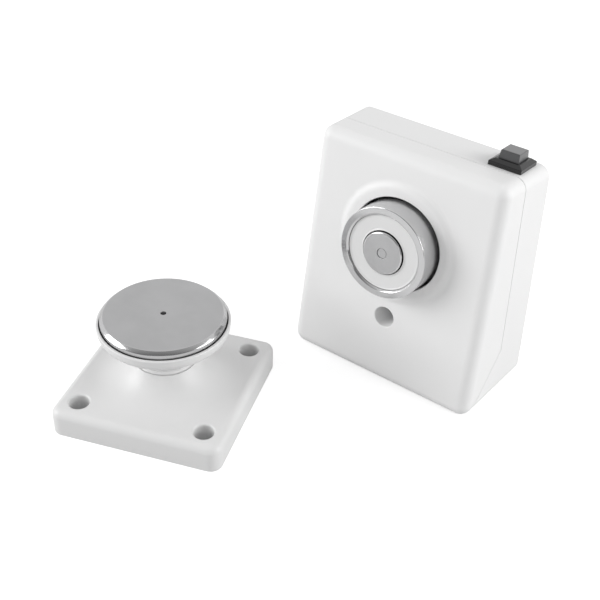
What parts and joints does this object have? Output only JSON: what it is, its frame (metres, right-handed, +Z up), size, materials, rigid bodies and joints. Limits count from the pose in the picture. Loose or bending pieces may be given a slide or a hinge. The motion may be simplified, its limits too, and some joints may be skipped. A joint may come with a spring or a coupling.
{
  "type": "electromagnetic door holder",
  "caption": "Wall-mounted electromagnetic door holder with a round pot magnet and release push-button, and a floor keeper plate on a ball swivel.",
  "frame": {"origin": "centre of the wall unit's flat back, where it meets the wall", "axes": "+Y into the wall, +Z up, +X to the right of someone who faces the unit"},
  "size_m": [0.1601, 0.1583, 0.1135],
  "materials": {
    "white_plastic": "satin moulded white",
    "pot_steel": "satin turned steel with polished edges",
    "core_steel": "fine ground steel",
    "armature_steel": "satin steel with a polished bevel",
    "resin": "pale grey cast resin",
    "black_plastic": "black moulded",
    "cap_plastic": "dark grey moulded",
    "nylon": "natural nylon",
    "copper": "enamelled copper wire",
    "zinc_steel": "bright zinc plated",
    "spring_steel": "plain spring steel",
    "brass": "plain brass",
    "board_green": "green laminate",
    "terminal_grey": "grey moulded",
    "black_rubber": "matt rubber",
    "lead_red": "red lead sheath",
    "lead_blue": "blue lead sheath",
    "diode_black": "black moulded"
  },
  "bodies": {
    "fixed_parts": {"front_cover": "white_plastic", "rear_housing": "white_plastic", "magnet_pot": "pot_steel", "magnet_core": "core_steel", "coil_bobbin": "nylon", "coil_winding": "copper", "potting_resin": "resin", "magnet_bracket": "zinc_steel", "pole_screw": "core_steel", "spring_washer": "spring_steel", "bracket_screws": "zinc_steel", "cover_screw": "zinc_steel", "switch_frame": "black_plastic", "switch_contacts": "brass", "switch_spring": "spring_steel", "switch_clip": "spring_steel", "circuit_board": "board_green", "board_screws": "zinc_steel", "terminal_block": "terminal_grey", "terminal_cages": "brass", "terminal_screws": "zinc_steel", "suppression_diode": "diode_black", "cable_grommet": "black_rubber", "coil_leads": "lead_red", "switch_leads": "lead_blue", "keeper_base": "white_plastic", "socket_retainer": "nylon", "retainer_screws": "zinc_steel"},
    "push_cap": {"switch_cap": "cap_plastic", "contact_bridge": "brass"},
    "swivel_liner": {"socket_liner": "nylon"},
    "armature": {"swivel_ball": "white_plastic", "armature_screw": "zinc_steel", "armature_cup": "white_plastic", "armature_disc": "armature_steel", "cushion_ring": "black_rubber"}
  },
  "joints": [
    {"name": "button_press", "type": "slide", "parent": "fixed_parts", "child": "push_cap", "axis": [0, -0.1045, -0.9945], "range_m": [0, 0.002], "stiffness_N_per_m": 800, "springref_m": -0.001, "deforming": ["switch_spring"]},
    {"name": "keeper_tilt_x", "type": "hinge", "parent": "fixed_parts", "child": "swivel_liner", "pos_m": [-0.0651, -0.1118, -0.03453], "axis": [1, 0, 0], "range_deg": [-8, 8]},
    {"name": "keeper_tilt_y", "type": "hinge", "parent": "swivel_liner", "child": "armature", "pos_m": [-0.0651, -0.1118, -0.03453], "axis": [0, 1, 0], "range_deg": [-8, 8]}
  ]
}
